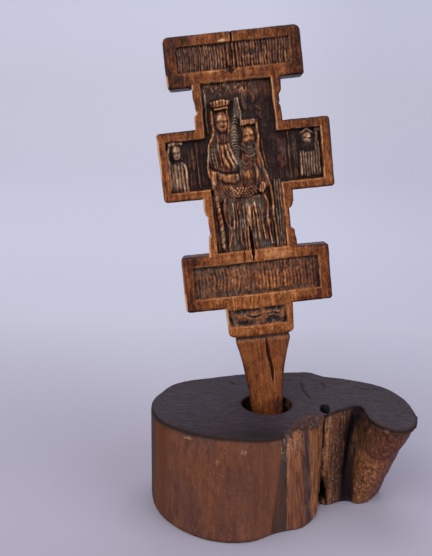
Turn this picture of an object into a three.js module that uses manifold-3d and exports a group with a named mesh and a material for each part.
// A carved wooden hand cross that stands, leaning back a little, in a socket bored into a slab of tree stump.
// Millimetres, +Z up. The carved front faces -Y, and X runs to the viewer's right.
// Origin: the middle of the whole object's footprint, on the surface that it stands on.

import * as THREE from "three";
import { mergeVertices } from "three/addons/utils/BufferGeometryUtils.js";
import Module from "manifold-3d";

const wasm = await Module();
wasm.setup();

// Stump

const stumpLength = 154; // left end to the right lobe's lip
const stumpDepth = 103;
const stumpHeight = 60;
const stumpEdgeWear = 1.8; // how far the worn top edge is drawn in
const stumpEdgeFall = 2.6; // how far down that wear reaches
const lipDrop = 7; // height of the overhanging lip under the top edge
const socketFromLeft = 67.6; // stump's left end to the socket's centre
const socketFromBack = 49; // stump's back to the socket's centre
const socketWidth = 29; // side to side
const socketSpan = 27.5; // front to back
const socketDepth = 38; // along the handle, below the stump's top
const knotHoleWidth = 5;
const knotHoleDepth = 14;
const knotFromSocket = 33; // to the right of the socket's centre
const knotInFront = 6; // towards the front of the socket's centre
const dryingCrackWidth = 1.4;
const dryingCrackDepth = 26;

// The stump's outline, going round from its left end by way of the back. Each row holds a point of the
// top edge and the matching point of the foot, as shares of half the length and half the depth.
const stumpOutline = [
  { top: [-1.0, 0.05], foot: [-1.0, 0.1] },
  { top: [-0.95, 0.29], foot: [-0.97, 0.35] },
  { top: [-0.83, 0.59], foot: [-0.84, 0.62] },
  { top: [-0.58, 0.76], foot: [-0.58, 0.8] },
  { top: [-0.27, 0.91], foot: [-0.27, 0.92] },
  { top: [0.06, 0.98], foot: [0.06, 0.99] },
  { top: [0.25, 1.0], foot: [0.23, 0.99] },
  { top: [0.38, 0.88], foot: [0.36, 0.84] },
  { top: [0.51, 0.83], foot: [0.47, 0.79] },
  { top: [0.8, 0.64], foot: [0.69, 0.58] },
  { top: [0.95, 0.31], foot: [0.79, 0.31] },
  { top: [1.0, -0.15], foot: [0.81, 0.13] },
  { top: [0.95, -0.46], foot: [0.74, -0.04] },
  { top: [0.85, -0.58], foot: [0.67, -0.13] },
  { top: [0.72, -0.5], foot: [0.61, -0.16] },
  { top: [0.63, -0.3], foot: [0.57, -0.14] },
  { top: [0.58, 0.05], foot: [0.54, -0.1] },
  { top: [0.47, -0.03], foot: [0.48, -0.11] },
  { top: [0.34, -0.18], foot: [0.36, -0.2] },
  { top: [0.24, -0.34], foot: [0.31, -0.18] },
  { top: [0.09, -0.51], foot: [0.27, -0.43] },
  { top: [0.01, -0.7], foot: [0.15, -0.69] },
  { top: [-0.11, -0.82], foot: [-0.03, -0.8] },
  { top: [-0.3, -0.84], foot: [-0.25, -1.0] },
  { top: [-0.57, -0.77], foot: [-0.52, -0.99] },
  { top: [-0.82, -0.57], foot: [-0.74, -0.8] },
  { top: [-0.96, -0.32], foot: [-0.93, -0.43] },
];
const samplesPerOutlinePoint = 4;

// Cross: heights are measured along the handle from the stump's top, widths from the handle's middle line

const leanBack = 11.9; // degrees
const tiltLeft = 7.3; // degrees
const crossThickness = 21;
const edgeWear = 0.9; // worn edge round the bars
const seatGap = 0.3; // handle's foot to the socket's floor

const handleHeight = 42.2; // stump's top to the neck block
const neckHeight = 17.2;
const lowerBarHeight = 31.4;
const lowerStemHeight = 32.2;
const armHeight = 39.2;
const upperStemHeight = 24.2;
const topBarHeight = 27.9;

const topBarLeft = 37.2;
const topBarRight = 38.8;
const topBarCorner = 3.2;
const armLeft = 45.8;
const armRight = 50.6;
const armCorner = 1.6;
const lowerBarLeft = 40.2;
const lowerBarRight = 43.8;
const lowerBarCorner = 2;
const lowerBarDraw = 1.6; // how much its lower edge is shorter at the left
const stemLeft = 24;
const stemRight = 24.8;
const padStep = 1.7; // how far the stems are cut in between their pads
const padHeight = 8.6;
const nickWidth = 4; // small notch in the side of the upper stem
const neckLeft = 17.8;
const neckRight = 20.4;
const neckDraw = 2.2; // how much the neck narrows downwards on each side
const handleTopWidth = 31;
const handleRimWidth = 18.4; // where it enters the socket
const handleFootWidth = 13;
const handleTopShift = 1.1; // the handle's head sits a little to the right
const handleTopThickness = 19.4;
const handleRimThickness = 17.6;
const handleFootThickness = 13.5;
const handleCornerCut = 2;

// Carved fields

const frameWidth = 4.4; // wood left standing beside the central panel
const topFrame = 5.8; // wood left standing round the hatched fields
const lowerFrame = 5.8;
const armFrame = 4.4;
const panelDepth = 4.6;
const hatchDepth = 3;
const hatchRise = 1.8;
const topHatchPitch = 1.55;
const lowerHatchPitch = 1.9;
const hatchSlant = 0.08; // sideways lean of the hatch per millimetre of height
const backFieldDepth = 2.4;

// Heights that follow from the ones above

const neckBottom = handleHeight;
const lowerBarBottom = neckBottom + neckHeight;
const lowerStemBottom = lowerBarBottom + lowerBarHeight;
const armBottom = lowerStemBottom + lowerStemHeight;
const upperStemBottom = armBottom + armHeight;
const topBarBottom = upperStemBottom + upperStemHeight;
const crossTop = topBarBottom + topBarHeight;
const frontFace = -crossThickness / 2;
const backFace = crossThickness / 2;
const panelFloor = frontFace + panelDepth;

// Solids

// A closed geometry as a solid that can be joined and cut.
function solidOf(geometry) {
  const bare = geometry.index ? geometry.toNonIndexed() : geometry.clone();
  for (const name of Object.keys(bare.attributes)) {
    if (name !== "position") bare.deleteAttribute(name);
  }
  const merged = mergeVertices(bare, 1e-4);
  return new wasm.Manifold(
    new wasm.Mesh({
      numProp: 3,
      vertProperties: new Float32Array(merged.attributes.position.array),
      triVerts: new Uint32Array(merged.index.array),
    }),
  );
}

function joined(solids) {
  return solids.reduce((whole, next) => whole.add(next));
}

function geometryOf(solid) {
  const mesh = solid.getMesh();
  const geometry = new THREE.BufferGeometry();
  geometry.setAttribute("position", new THREE.BufferAttribute(mesh.vertProperties, 3));
  geometry.setIndex(new THREE.BufferAttribute(mesh.triVerts, 1));
  geometry.computeVertexNormals();
  return geometry;
}

// Joins rings of equal length, stacked upwards, into one closed solid with flat ends.
function loft(rings) {
  const count = rings[0].length;
  const points = rings.flat();
  const faces = [];
  for (let level = 0; level + 1 < rings.length; level++) {
    for (let i = 0; i < count; i++) {
      const a = level * count + i;
      const b = level * count + ((i + 1) % count);
      faces.push(a, b, b + count, a, b + count, a + count);
    }
  }
  const last = (rings.length - 1) * count;
  for (const [a, b, c] of THREE.ShapeUtils.triangulateShape(rings[0], [])) faces.push(a, c, b);
  for (const [a, b, c] of THREE.ShapeUtils.triangulateShape(rings.at(-1), [])) {
    faces.push(last + a, last + b, last + c);
  }
  const geometry = new THREE.BufferGeometry().setFromPoints(points);
  geometry.setIndex(faces);
  return geometry;
}

function shapeThrough(points) {
  return new THREE.Shape(points.map(([x, z]) => new THREE.Vector2(x, z)));
}

// A rectangle whose corners are rounded, seen from the front.
function roundedBar(left, right, bottom, top, radius) {
  const shape = new THREE.Shape();
  shape.moveTo(left + radius, bottom);
  shape.lineTo(right - radius, bottom);
  shape.absarc(right - radius, bottom + radius, radius, -Math.PI / 2, 0);
  shape.lineTo(right, top - radius);
  shape.absarc(right - radius, top - radius, radius, 0, Math.PI / 2);
  shape.lineTo(left + radius, top);
  shape.absarc(left + radius, top - radius, radius, Math.PI / 2, Math.PI);
  shape.lineTo(left, bottom + radius);
  shape.absarc(left + radius, bottom + radius, radius, Math.PI, 1.5 * Math.PI);
  return shape;
}

// A shape seen from the front, as a solid from yFront to yBack, with its edges worn by bevel.
function slab(shape, yFront, yBack, bevel = 0) {
  const geometry = new THREE.ExtrudeGeometry(shape, {
    depth: yBack - yFront - 2 * bevel,
    bevelEnabled: bevel > 0,
    bevelThickness: bevel,
    bevelSize: bevel,
    bevelOffset: -bevel,
    bevelSegments: 1,
    curveSegments: 4,
  });
  geometry.rotateX(Math.PI / 2);
  geometry.translate(0, yBack - bevel, 0);
  return solidOf(geometry);
}

function block(left, right, bottom, top, yFront, yBack) {
  const geometry = new THREE.BoxGeometry(right - left, yBack - yFront, top - bottom);
  geometry.translate((left + right) / 2, (yFront + yBack) / 2, (bottom + top) / 2);
  return solidOf(geometry);
}

// The cross's plain body

function stemShape(bottom, top, nicked) {
  const right = stemRight;
  const left = -stemLeft;
  const inRight = right - padStep;
  const inLeft = left + padStep;
  const lowPad = bottom + padHeight;
  const highPad = top - padHeight;
  if (!nicked) {
    return shapeThrough([
      [left, bottom],
      [right, bottom],
      [right, lowPad],
      [inRight, lowPad + padStep],
      [inRight, highPad],
      [right, highPad],
      [right, top],
      [left, top],
      [left, highPad],
      [inLeft, highPad],
      [inLeft, lowPad + padStep],
      [left, lowPad],
    ]);
  }
  const middle = (bottom + top) / 2;
  const nick = nickWidth / 2;
  const shallow = padStep / 3;
  return shapeThrough([
    [left, bottom],
    [right, bottom],
    [right, middle - 2 * nick],
    [inRight, middle - nick],
    [right - shallow, middle],
    [right - shallow, highPad],
    [right, highPad + shallow],
    [right, top],
    [left, top],
    [left, highPad + shallow],
    [left + shallow, highPad],
    [left + shallow, middle],
    [inLeft, middle - nick],
    [left, middle - 2 * nick],
  ]);
}

function neckShape() {
  const corner = neckDraw;
  const shape = new THREE.Shape();
  shape.moveTo(-neckLeft + neckDraw + corner, neckBottom);
  shape.lineTo(neckRight - neckDraw - corner, neckBottom);
  shape.quadraticCurveTo(
    neckRight - neckDraw / 2,
    neckBottom,
    neckRight - neckDraw / 4,
    neckBottom + 2 * corner,
  );
  shape.lineTo(neckRight, lowerBarBottom + edgeWear);
  shape.lineTo(-neckLeft, lowerBarBottom + edgeWear);
  shape.lineTo(-neckLeft + neckDraw / 4, neckBottom + 2 * corner);
  shape.quadraticCurveTo(
    -neckLeft + neckDraw / 2,
    neckBottom,
    -neckLeft + neckDraw + corner,
    neckBottom,
  );
  return shape;
}

// The handle's width narrows quickly under the neck and then slowly down to its foot.
function handleWidthAt(z) {
  if (z < 0) return THREE.MathUtils.lerp(handleRimWidth, handleFootWidth, -z / socketDepth);
  return handleRimWidth + (handleTopWidth - handleRimWidth) * (z / handleHeight) ** 1.7;
}

function handleThicknessAt(z) {
  if (z < 0) return THREE.MathUtils.lerp(handleRimThickness, handleFootThickness, -z / socketDepth);
  return THREE.MathUtils.lerp(handleRimThickness, handleTopThickness, z / handleHeight);
}

function handle() {
  const foot = seatGap - socketDepth;
  const levels = [foot, foot / 2, 0];
  const stepsAboveRim = 7;
  for (let i = 1; i <= stepsAboveRim; i++) levels.push((i / stepsAboveRim) * handleHeight);
  levels.push(neckBottom + edgeWear);
  const rings = levels.map((z) => {
    const reached = Math.min(z, handleHeight);
    const x = handleWidthAt(reached) / 2;
    const y = handleThicknessAt(reached) / 2;
    const shift = handleTopShift * Math.max(0, reached / handleHeight) ** 2;
    const cut = handleCornerCut;
    return [
      [-x + cut, -y],
      [x - cut, -y],
      [x, -y + cut],
      [x, y - cut],
      [x - cut, y],
      [-x + cut, y],
      [-x, y - cut],
      [-x, -y + cut],
    ].map(([px, py]) => new THREE.Vector3(px + shift, py, z));
  });
  return solidOf(loft(rings));
}

function lowerBarShape() {
  const r = lowerBarCorner;
  const low = lowerBarBottom;
  const top = lowerStemBottom;
  return shapeThrough([
    [-lowerBarLeft + lowerBarDraw + r, low],
    [lowerBarRight - r, low],
    [lowerBarRight, low + r],
    [lowerBarRight, top - r / 2],
    [lowerBarRight - r / 2, top],
    [-lowerBarLeft + r / 2, top],
    [-lowerBarLeft, top - r / 2],
    [-lowerBarLeft + lowerBarDraw, low + r],
  ]);
}

function plainCross() {
  const overlap = 2 * edgeWear; // the stems run this far into the bars
  const through = (shape, bevel) => slab(shape, frontFace, backFace, bevel);
  return joined([
    through(roundedBar(-topBarLeft, topBarRight, topBarBottom, crossTop, topBarCorner), edgeWear),
    through(roundedBar(-armLeft, armRight, armBottom, upperStemBottom, armCorner), edgeWear),
    through(lowerBarShape(), edgeWear),
    through(stemShape(upperStemBottom, topBarBottom, true)),
    through(stemShape(lowerStemBottom, armBottom, false)),
    block(-stemLeft, stemRight, lowerStemBottom - overlap, lowerStemBottom, frontFace, backFace),
    block(-stemLeft, stemRight, armBottom, upperStemBottom, frontFace, backFace),
    block(-stemLeft, stemRight, topBarBottom, topBarBottom + overlap, frontFace, backFace),
    through(neckShape()),
    handle(),
  ]);
}

// Carved fields that are sunk into the front

const panelLeft = -stemLeft + frameWidth;
const panelRight = stemRight - frameWidth - edgeWear / 2;

// The central panel and both arms are one sunk field in the shape of a cross.
function panelShape() {
  const low = armBottom + armFrame;
  const high = upperStemBottom - armFrame;
  return shapeThrough([
    [panelLeft, lowerStemBottom],
    [panelRight, lowerStemBottom],
    [panelRight, low + edgeWear],
    [armRight - armFrame, low + edgeWear],
    [armRight - armFrame, high],
    [panelRight, high],
    [panelRight, topBarBottom + edgeWear],
    [panelLeft, topBarBottom + edgeWear],
    [panelLeft, high],
    [-armLeft + armFrame, high],
    [-armLeft + armFrame, low],
    [panelLeft, low],
  ]);
}

const topField = {
  left: -topBarLeft + topFrame,
  right: topBarRight - topFrame,
  bottom: topBarBottom + topFrame + edgeWear,
  top: crossTop - topFrame,
};
const lowerField = {
  left: -lowerBarLeft + lowerFrame,
  right: lowerBarRight - lowerFrame,
  bottom: lowerBarBottom + lowerFrame + edgeWear,
  top: lowerStemBottom - lowerFrame,
};

function sunkField(field, depth, face) {
  const out = Math.sign(face) * crossThickness;
  const floor = face - Math.sign(face) * depth;
  const yFront = Math.min(floor, face + out);
  const yBack = Math.max(floor, face + out);
  return block(field.left, field.right, field.bottom, field.top, yFront, yBack);
}

// One row of upright ridges, cut as a zigzag that stands on a sunk field's floor and leans by slant.
function ridgeRow(left, right, bottom, top, pitch, floor, rise, slant) {
  const count = Math.max(2, Math.round((right - left) / pitch));
  const step = (right - left) / count;
  const inward = -Math.sign(rise);
  const base = floor + inward;
  const outline = [];
  outline.push([left, base], [right, base], [right, floor]);
  for (let i = count; i > 0; i--) {
    outline.push([left + (i - 0.5) * step, floor + rise]);
    outline.push([left + (i - 1) * step, floor]);
  }
  const points = outline.map(([x, y]) => new THREE.Vector2(x, y));
  const geometry = new THREE.ExtrudeGeometry(new THREE.Shape(points), {
    depth: top - bottom,
    bevelEnabled: false,
  });
  const shear = new THREE.Matrix4().set(1, 0, slant, 0, 0, 1, 0, 0, 0, 0, 1, 0, 0, 0, 0, 1);
  geometry.translate(0, 0, bottom - (bottom + top) / 2);
  geometry.applyMatrix4(shear);
  geometry.translate(0, 0, (bottom + top) / 2);
  return solidOf(geometry);
}

// Two rows of ridges on each side of a plain strip in the middle, leaning opposite ways.
function hatch(field, pitch, face, depth) {
  const out = Math.sign(face);
  const floor = face - out * depth;
  const rise = out * hatchRise;
  const margin = pitch;
  const height = field.top - field.bottom;
  const divide = field.bottom + height * 0.52;
  const rows = [];
  for (const [left, right] of [
    [field.left + margin, -margin],
    [2 * margin, field.right - margin],
  ]) {
    const span = [left, right];
    rows.push(ridgeRow(...span, field.bottom + margin, divide, pitch, floor, rise, -hatchSlant));
    rows.push(ridgeRow(...span, divide + margin / 3, field.top - margin, pitch, floor, rise, hatchSlant));
  }
  return rows;
}

// Relief figures. Each stands up from the panel's floor towards the frame's face.

function boss(x, z, halfWidth, halfHeight, rise, turn = 0) {
  const small = halfWidth < 2;
  const geometry = small ? new THREE.SphereGeometry(1, 7, 4) : new THREE.SphereGeometry(1, 12, 8);
  geometry.scale(halfWidth, rise, halfHeight);
  geometry.rotateY(turn);
  geometry.translate(x, panelFloor, z);
  return solidOf(geometry);
}

function raised(points, rise, bevel = 0.5) {
  return slab(shapeThrough(points), panelFloor - rise, panelFloor + 1, bevel);
}

// A fold of cloth: a slim rounded rib from one point to another.
function fold(fromX, fromZ, toX, toZ, width, rise) {
  const length = Math.hypot(toX - fromX, toZ - fromZ);
  const geometry = new THREE.CylinderGeometry(width / 3, width / 2, length, 6);
  geometry.rotateX(-Math.PI / 2);
  geometry.rotateX(Math.PI);
  geometry.scale(1, rise / (width / 2), 1);
  geometry.rotateY(Math.atan2(toX - fromX, toZ - fromZ));
  geometry.translate((fromX + toX) / 2, panelFloor, (fromZ + toZ) / 2);
  return solidOf(geometry);
}

const motherX = -9.5;
const childX = 5.2;
const hemHeight = lowerStemBottom + 3;
const waistHeight = armBottom - 1;
const motherHeadHeight = armBottom + 42.5;
const childHeadHeight = armBottom + 33.5;
const clothRise = 2.4;
const headRise = 4.2;

function mother() {
  const shoulder = armBottom + 31;
  const elbow = armBottom + 9;
  const mantle = raised(
    [
      [motherX - 6.1, motherHeadHeight + 8],
      [motherX - 6.9, motherHeadHeight - 4],
      [motherX - 7.9, shoulder],
      [motherX - 9.7, shoulder - 9],
      [motherX - 9.7, elbow],
      [motherX - 7, waistHeight + 4],
      [motherX - 6, hemHeight],
      [childX + 8.5, hemHeight],
      [childX + 10, elbow - 3],
      [childX - 3, elbow + 1],
      [-2.5, elbow + 7],
      [-4.2, shoulder - 6],
      [-4.2, motherHeadHeight + 8],
    ],
    clothRise,
  );
  const parts = [mantle, boss(motherX, motherHeadHeight, 4.6, 7, headRise)];
  parts.push(boss(motherX, motherHeadHeight - 9.5, 2.2, 5, clothRise + 0.8));
  // folds that swing from the shoulders to the forearm
  const swings = 4;
  for (let i = 0; i < swings; i++) {
    const start = motherX - 4 + 2.7 * i;
    parts.push(fold(start, shoulder - 1, start + 3.5, elbow + 6 - i, 1.6, clothRise + 1));
  }
  parts.push(
    raised(
      [
        [motherX - 6, elbow + 6],
        [motherX - 5.5, elbow + 1.5],
        [motherX - 0.5, elbow - 1],
        [motherX + 7, elbow - 0.5],
        [motherX + 7, elbow + 3.5],
        [motherX + 1, elbow + 4],
      ],
      headRise - 0.4,
    ),
  );
  return joined(parts);
}

// A crown: a band with a row of points.
function crown() {
  const pointsInCrown = 5;
  const halfBand = 5.2;
  const halfTop = 6.4;
  const bandBottom = motherHeadHeight + 6.6;
  const bandTop = bandBottom + 2;
  const tip = bandBottom + 4.6;
  const outline = [
    [motherX - halfBand, bandBottom],
    [motherX + halfBand, bandBottom],
  ];
  for (let i = 0; i < pointsInCrown; i++) {
    const right = motherX + halfTop * (1 - (2 * i) / pointsInCrown);
    const left = motherX + halfTop * (1 - (2 * (i + 1)) / pointsInCrown);
    outline.push([right, tip], [(left + right) / 2, bandTop + 1]);
    if (i === pointsInCrown - 1) outline.push([left, tip]);
  }
  return raised(outline, headRise - 0.3, 0.3);
}

function child() {
  const parts = [
    raised(
      [
        [childX - 4, childHeadHeight + 7],
        [childX - 5, childHeadHeight - 7],
        [childX - 7.6, armBottom + 14],
        [childX - 3, armBottom + 8],
        [childX + 9, armBottom + 7],
        [childX + 8, armBottom + 12],
        [childX + 5.9, armBottom + 20],
        [childX + 5.2, childHeadHeight + 7],
      ],
      clothRise + 0.3,
    ),
    boss(childX, childHeadHeight, 4, 6.5, headRise),
    boss(childX + 0.4, childHeadHeight + 8.4, 4.6, 3.4, headRise - 0.6),
    boss(childX - 2.2, armBottom + 11.5, 3.2, 3.2, headRise - 0.6),
  ];
  parts.push(fold(childX + 5.2, childHeadHeight + 5, childX + 5.4, armBottom + 14, 1.5, clothRise + 1));
  parts.push(fold(childX + 5.4, armBottom + 14, childX + 9.6, armBottom + 2, 2, clothRise + 1));
  return joined(parts);
}

// The ribbed staff that stands between the two heads.
function staff() {
  const ribs = 12;
  const bottom = armBottom + 19;
  const pitch = 2.1;
  const parts = [fold(-2.6, bottom, 0.6, bottom + ribs * pitch + 10, 2.6, clothRise)];
  for (let i = 0; i < ribs; i++) {
    const z = bottom + pitch * (i + 0.5);
    parts.push(boss(-3.2 + 0.1 * i, z, 1.9, pitch * 0.42, clothRise + 0.7, 0.3));
  }
  return joined(parts);
}

// The scaled girdle: a sagging band with rows of small bosses.
function girdle() {
  const outline = [];
  const steps = 8;
  const halfSpan = 10;
  const middle = -1.5;
  const curve = (share, height, sag) => [
    middle + halfSpan * share,
    waistHeight + height + sag * share ** 2,
  ];
  for (let i = 0; i <= steps; i++) outline.push(curve((2 * i) / steps - 1, 0, 6.5));
  for (let i = steps; i >= 0; i--) outline.push(curve((2 * i) / steps - 1, 5, 2.5));
  const parts = [raised(outline, clothRise + 0.8, 0.3)];
  const studs = 5;
  for (let row = 0; row < 2; row++) {
    for (let i = 0; i < studs; i++) {
      const share = (i + 0.5 + row / 2) / studs - 0.6;
      const [x, z] = curve(share, 1.6 + 2 * row, 5);
      parts.push(boss(x, z, 0.8, 0.8, clothRise + 1.5));
    }
  }
  return joined(parts);
}

// The twisted cord that hangs from the sleeve at the left.
function twistedCord() {
  const top = armBottom + 9;
  const turns = 15;
  const pitch = (top - hemHeight) / turns;
  const parts = [];
  for (let i = 0; i < turns; i++) {
    const z = hemHeight + pitch * (i + 0.5);
    const x = -15.6 - 2.4 * Math.max(0, (z - waistHeight) / (top - waistHeight));
    parts.push(boss(x, z, 1.3, pitch * 0.72, clothRise + 1, -0.6));
  }
  return joined(parts);
}

// Long pleats of the lower robe, spreading a little towards the hem.
function robePleats() {
  const pleats = 9;
  const left = -12;
  const right = 12;
  const parts = [];
  for (let i = 0; i < pleats; i++) {
    const share = i / (pleats - 1);
    const hemX = THREE.MathUtils.lerp(left, right, share);
    const waistX = hemX * 0.82;
    parts.push(fold(hemX, hemHeight, waistX, waistHeight - 1.5, 1.7, clothRise + 1.1));
  }
  for (const x of [15.6, 17.6]) parts.push(fold(x, hemHeight - 1, x, armBottom + 6, 1.1, 1.4));
  return joined(parts);
}

// A small standing saint in an arm: head, hood and a pleated robe.
function armFigure(x, headHeight, halfRobe, shoulderHeight) {
  const hem = armBottom + armFrame + 1.4;
  const parts = [
    raised(
      [
        [x - halfRobe, hem],
        [x + halfRobe, hem],
        [x + halfRobe, shoulderHeight - 3],
        [x + halfRobe * 0.7, shoulderHeight],
        [x - halfRobe * 0.7, shoulderHeight],
        [x - halfRobe, shoulderHeight - 3],
      ],
      clothRise - 0.6,
    ),
    boss(x, headHeight, 3, 4.2, headRise - 0.8),
    boss(x, headHeight + 2.6, 3.9, 2.2, headRise - 1.4),
  ];
  const pleats = 6;
  for (let i = 0; i < pleats; i++) {
    const at = x + halfRobe * ((2 * i + 1) / pleats - 1);
    parts.push(fold(at, hem, at, shoulderHeight - 1.5, 1.5, clothRise + 0.4));
  }
  return joined(parts);
}

function figures() {
  return [
    mother(),
    crown(),
    child(),
    staff(),
    girdle(),
    twistedCord(),
    robePleats(),
    armFigure(-36.6, armBottom + 27.5, 5, armBottom + 21.5),
    armFigure(38.4, armBottom + 27.5, 5.8, armBottom + 20.5),
  ];
}

// A wavy ribbon in a shallow field on the neck block.
function neckOrnament() {
  const field = {
    left: -neckLeft + 3.4,
    right: neckRight - 3.8,
    bottom: neckBottom + 6.2,
    top: lowerBarBottom - edgeWear,
  };
  const depth = 1.8;
  const waves = 3;
  const steps = 12;
  const middle = (field.bottom + field.top) / 2;
  const reach = (field.top - field.bottom) / 2 - 1.6;
  const along = (i) => THREE.MathUtils.lerp(field.left, field.right, i / steps);
  const height = (i) => middle + reach * Math.cos((i / steps) * waves * 2 * Math.PI);
  const outline = [];
  for (let i = 0; i <= steps; i++) outline.push([along(i), height(i) - 1.5]);
  for (let i = steps; i >= 0; i--) outline.push([along(i), height(i) + 1.5]);
  const floor = frontFace + depth;
  return {
    cut: sunkField(field, depth, frontFace),
    ribbon: slab(shapeThrough(outline), floor - depth * 0.7, floor + 1, 0),
  };
}

// Splits that opened as the wood dried: wedges that narrow inwards and towards both ends.
function split(fromX, fromZ, toX, toZ, width, depth, face) {
  const length = Math.hypot(toX - fromX, toZ - fromZ);
  const half = width / 2;
  const wedge = (z, share) =>
    [
      [-half * share, 0],
      [half * share, 0],
      [0.15 * half * share, depth],
      [-0.15 * half * share, depth],
    ].map(([x, y]) => new THREE.Vector3(x, y, z));
  const mouth = 2; // starts this far in front of the face
  const geometry = loft([
    wedge(-length / 2, 0.3),
    wedge(-length / 6, 1),
    wedge(length / 6, 1),
    wedge(length / 2, 0.4),
  ]);
  geometry.scale(1 + mouth / depth, 1 + mouth / depth, 1);
  geometry.rotateY(Math.atan2(toX - fromX, toZ - fromZ));
  geometry.translate((fromX + toX) / 2, face - mouth, (fromZ + toZ) / 2);
  return solidOf(geometry);
}

function carvedCross() {
  const neck = neckOrnament();
  let body = plainCross();
  body = body.subtract(slab(panelShape(), frontFace - 2, panelFloor));
  body = body.subtract(sunkField(topField, hatchDepth, frontFace));
  body = body.subtract(sunkField(lowerField, hatchDepth, frontFace));
  body = body.subtract(sunkField(topField, backFieldDepth, backFace));
  body = body.subtract(sunkField(lowerField, backFieldDepth, backFace));
  body = body.subtract(neck.cut);
  const relief = [
    ...figures(),
    ...hatch(topField, topHatchPitch, frontFace, hatchDepth),
    ...hatch(lowerField, lowerHatchPitch, frontFace, hatchDepth),
    neck.ribbon,
  ];
  body = body.add(joined(relief));
  const splits = [
    split(3.2, handleHeight - 3, 4.6, 15, 1.8, 6, frontFace + 1.5),
    split(0.8, lowerStemBottom + 13, 1, lowerStemBottom - lowerFrame + 1, 1.7, 5, frontFace),
    split(1, crossTop + 1, 1.2, crossTop - topFrame - 3, 1.1, 6, frontFace),
  ];
  for (const wedge of splits) body = body.subtract(wedge);
  return body;
}

// Stump

// Where the outline runs at a share of the way from foot (0) to top (1).
function stumpRing(height, towardsTop, drawnIn) {
  const scale = ([x, y]) => new THREE.Vector3((x * stumpLength) / 2, (y * stumpDepth) / 2, 0);
  const top = new THREE.CatmullRomCurve3(stumpOutline.map((p) => scale(p.top)), true, "centripetal");
  const foot = new THREE.CatmullRomCurve3(stumpOutline.map((p) => scale(p.foot)), true, "centripetal");
  const count = stumpOutline.length * samplesPerOutlinePoint;
  const ring = [];
  for (let i = 0; i < count; i++) {
    const at = i / count;
    ring.push(foot.getPoint(at).lerp(top.getPoint(at), towardsTop));
  }
  ring.reverse(); // anticlockwise seen from above
  return ring.map((point, i) => {
    const before = ring[(i + count - 1) % count];
    const after = ring[(i + 1) % count];
    const along = new THREE.Vector3().subVectors(after, before).normalize();
    const inward = new THREE.Vector3(-along.y, along.x, 0);
    return point.clone().addScaledVector(inward, drawnIn).setZ(height);
  });
}

function stumpBody() {
  const shoulder = stumpHeight - lipDrop;
  return solidOf(
    loft([
      stumpRing(0, 0, stumpEdgeWear / 2),
      stumpRing(stumpEdgeWear, 0, 0),
      stumpRing(stumpHeight * 0.3, 0.27, 0),
      stumpRing(stumpHeight * 0.6, 0.52, 0),
      stumpRing(shoulder, 0.8, 0),
      stumpRing(stumpHeight - stumpEdgeFall, 0.98, 0),
      stumpRing(stumpHeight - stumpEdgeFall / 4, 1, stumpEdgeWear / 3),
      stumpRing(stumpHeight, 1, stumpEdgeWear),
    ]),
  );
}

// The socket's mouth, in the stump's own frame, whose origin is the middle of its outline at the foot
const socketMouth = new THREE.Vector3(
  -stumpLength / 2 + socketFromLeft,
  stumpDepth / 2 - socketFromBack,
  stumpHeight,
);

// The cross leans back about X, and tilts to the left about its own thickness.
function crossPlace() {
  const lean = new THREE.Matrix4().makeRotationX(-THREE.MathUtils.degToRad(leanBack));
  const tilt = new THREE.Matrix4().makeRotationY(-THREE.MathUtils.degToRad(tiltLeft));
  return new THREE.Matrix4()
    .makeTranslation(socketMouth.x, socketMouth.y, socketMouth.z)
    .multiply(lean)
    .multiply(tilt);
}

function socketBore() {
  const above = socketWidth / 2;
  const bore = new THREE.CylinderGeometry(0.5, 0.5, socketDepth + above, 32);
  bore.rotateX(Math.PI / 2);
  bore.scale(socketWidth, socketSpan, 1);
  bore.translate(0, 0, (above - socketDepth) / 2);
  bore.applyMatrix4(crossPlace());
  return solidOf(bore);
}

function knotHole() {
  const x = socketMouth.x + knotFromSocket;
  const y = socketMouth.y - knotInFront;
  const above = 2;
  const hole = new THREE.CylinderGeometry(knotHoleWidth / 2, knotHoleWidth / 4, knotHoleDepth + above, 10);
  hole.rotateX(Math.PI / 2);
  hole.translate(x, y, stumpHeight + (above - knotHoleDepth) / 2);
  // a drying crack runs from the knot to the front
  const length = stumpDepth / 4;
  const crack = new THREE.BoxGeometry(dryingCrackWidth, length, dryingCrackDepth + above);
  crack.translate(x, y - length / 2, stumpHeight + (above - dryingCrackDepth) / 2);
  return solidOf(hole).add(solidOf(crack));
}

function stump() {
  return stumpBody().subtract(socketBore()).subtract(knotHole());
}

// Scene graph

const oiledWood = new THREE.MeshStandardMaterial({ color: 0x9a6034, roughness: 0.5, metalness: 0 });
const agedStump = new THREE.MeshStandardMaterial({ color: 0x6a4a3c, roughness: 0.75, metalness: 0 });

const stumpMesh = new THREE.Mesh(geometryOf(stump()), agedStump);
stumpMesh.name = "stump_base";

const crossMesh = new THREE.Mesh(geometryOf(carvedCross()), oiledWood);
crossMesh.name = "hand_cross";

const tilting = new THREE.Group();
tilting.rotation.y = -THREE.MathUtils.degToRad(tiltLeft);
tilting.add(crossMesh);

const leaning = new THREE.Group();
leaning.rotation.x = -THREE.MathUtils.degToRad(leanBack);
leaning.position.copy(socketMouth);
leaning.add(tilting);

const handCrossOnStump = new THREE.Group();
handCrossOnStump.add(stumpMesh, leaning);

// The origin goes to the middle of the footprint of everything, whatever the sizes are.
const extent = new THREE.Box3().setFromObject(handCrossOnStump, true);
const middle = extent.getCenter(new THREE.Vector3());
for (const piece of [stumpMesh, leaning]) {
  piece.position.x -= middle.x;
  piece.position.y -= middle.y;
}

export default handCrossOnStump;
